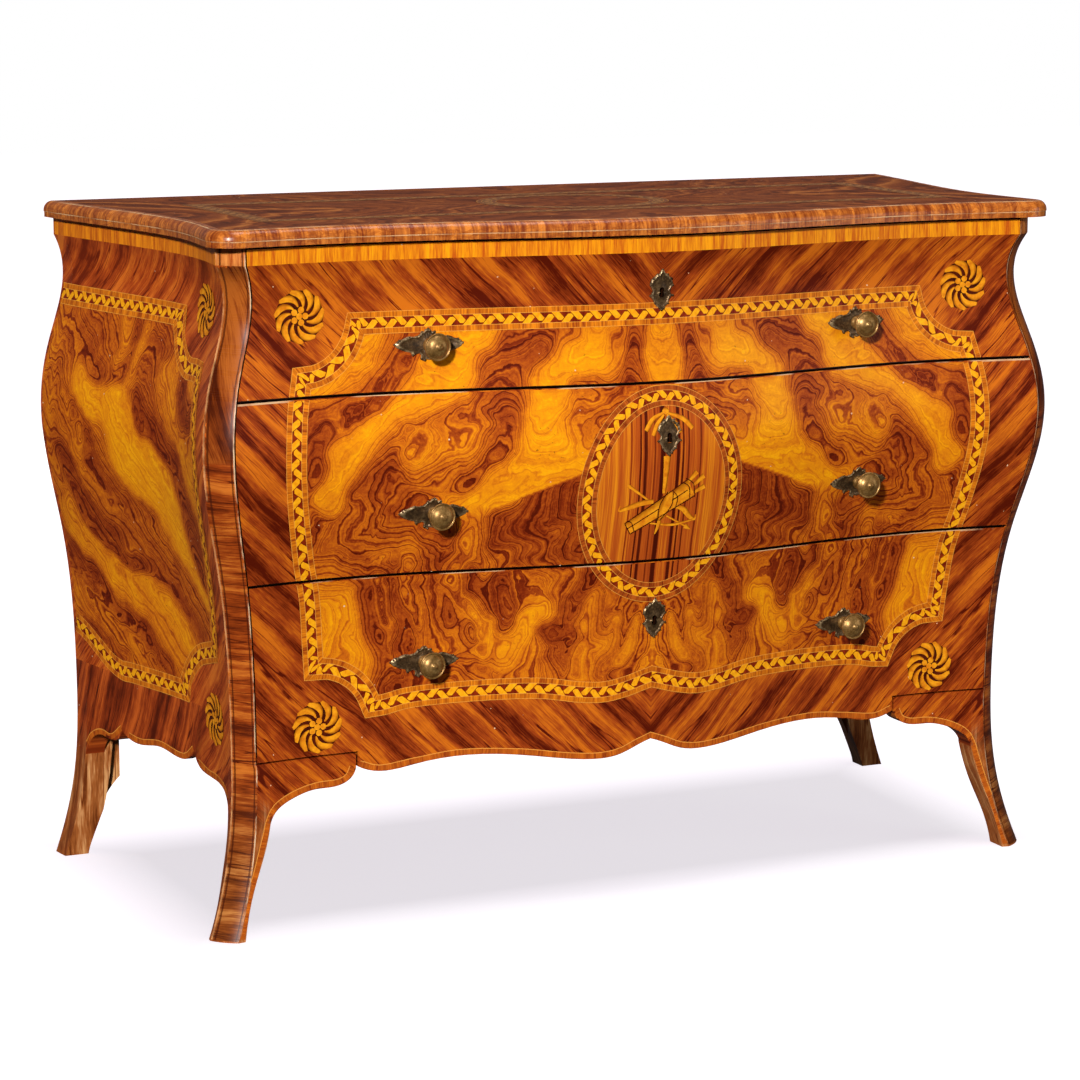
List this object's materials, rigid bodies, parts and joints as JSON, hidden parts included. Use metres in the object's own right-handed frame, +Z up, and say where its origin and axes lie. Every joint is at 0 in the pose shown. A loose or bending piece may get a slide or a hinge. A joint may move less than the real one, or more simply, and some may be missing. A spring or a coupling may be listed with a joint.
{
  "type": "bombe chest of drawers",
  "caption": "Bombe chest with serpentine inlaid drawer fronts, swelling sides, scalloped apron, short curved legs and bronze knobs; drawers slide out and lock.",
  "frame": {"origin": "on the floor under the middle of the overall bounding box", "axes": "+X to the right seen from the front, +Y to the back, +Z up"},
  "size_m": [1.3004, 0.5874, 0.892],
  "materials": {
    "walnut_top": "french polished dark walnut",
    "inlaid_front": "polished burl veneer with inlaid bands",
    "veneered_side": "polished burl veneer with inlaid bands",
    "veneered_corner": "polished cross-grain walnut veneer",
    "rear_walnut": "polished walnut",
    "case_pine": "bare aged pine",
    "drawer_pine": "bare aged pine",
    "aged_bronze": "aged cast bronze",
    "lock_iron": "oiled wrought iron"
  },
  "bodies": {
    "carcass": {"top_board": "walnut_top", "top_moulding": "walnut_top", "left_side_panel": "veneered_side", "right_side_panel": "veneered_side", "front_left_post": "veneered_corner", "front_right_post": "veneered_corner", "front_left_knee_bracket": "veneered_corner", "front_right_knee_bracket": "veneered_corner", "rear_left_post": "rear_walnut", "rear_right_post": "rear_walnut", "back_board_upper": "case_pine", "back_board_lower": "case_pine", "bottom_board": "case_pine", "top_front_rail": "case_pine", "divider_rail_upper": "case_pine", "divider_rail_lower": "case_pine", "lower_guide_left": "case_pine", "lower_guide_right": "case_pine", "middle_runner_right": "case_pine", "middle_runner_left": "case_pine", "upper_runner_right": "case_pine", "upper_runner_left": "case_pine"},
    "upper_drawer": {"upper_drawer_front": "inlaid_front", "upper_drawer_left_side": "drawer_pine", "upper_drawer_right_side": "drawer_pine", "upper_drawer_back": "drawer_pine", "upper_drawer_bottom": "drawer_pine", "upper_drawer_backplates": "aged_bronze", "upper_drawer_escutcheon": "aged_bronze", "upper_drawer_knob_left": "aged_bronze", "upper_drawer_knob_right": "aged_bronze", "upper_drawer_knob_nuts": "lock_iron", "upper_drawer_lock_case": "lock_iron"},
    "upper_bolt": {"upper_drawer_lock_bolt": "lock_iron"},
    "middle_drawer": {"middle_drawer_front": "inlaid_front", "middle_drawer_left_side": "drawer_pine", "middle_drawer_right_side": "drawer_pine", "middle_drawer_back": "drawer_pine", "middle_drawer_bottom": "drawer_pine", "middle_drawer_backplates": "aged_bronze", "middle_drawer_escutcheon": "aged_bronze", "middle_drawer_knob_left": "aged_bronze", "middle_drawer_knob_right": "aged_bronze", "middle_drawer_knob_nuts": "lock_iron", "middle_drawer_lock_case": "lock_iron"},
    "middle_bolt": {"middle_drawer_lock_bolt": "lock_iron"},
    "lower_drawer": {"lower_drawer_front": "inlaid_front", "lower_drawer_left_side": "drawer_pine", "lower_drawer_right_side": "drawer_pine", "lower_drawer_back": "drawer_pine", "lower_drawer_bottom": "drawer_pine", "lower_drawer_backplates": "aged_bronze", "lower_drawer_escutcheon": "aged_bronze", "lower_drawer_knob_left": "aged_bronze", "lower_drawer_knob_right": "aged_bronze", "lower_drawer_knob_nuts": "lock_iron", "lower_drawer_lock_case": "lock_iron"},
    "lower_bolt": {"lower_drawer_lock_bolt": "lock_iron"}
  },
  "joints": [
    {"name": "upper_drawer_slide", "type": "slide", "parent": "carcass", "child": "upper_drawer", "axis": [0, -1, 0], "range_m": [0, 0.38]},
    {"name": "middle_drawer_slide", "type": "slide", "parent": "carcass", "child": "middle_drawer", "axis": [0, -1, 0], "range_m": [0, 0.38]},
    {"name": "lower_drawer_slide", "type": "slide", "parent": "carcass", "child": "lower_drawer", "axis": [0, -1, 0], "range_m": [0, 0.38]},
    {"name": "upper_bolt_slide", "type": "slide", "parent": "upper_drawer", "child": "upper_bolt", "axis": [0, 0, 1], "range_m": [0, 0.009]},
    {"name": "middle_bolt_slide", "type": "slide", "parent": "middle_drawer", "child": "middle_bolt", "axis": [0, 0, 1], "range_m": [0, 0.009]},
    {"name": "lower_bolt_slide", "type": "slide", "parent": "lower_drawer", "child": "lower_bolt", "axis": [0, 0, 1], "range_m": [0, 0.009]}
  ]
}
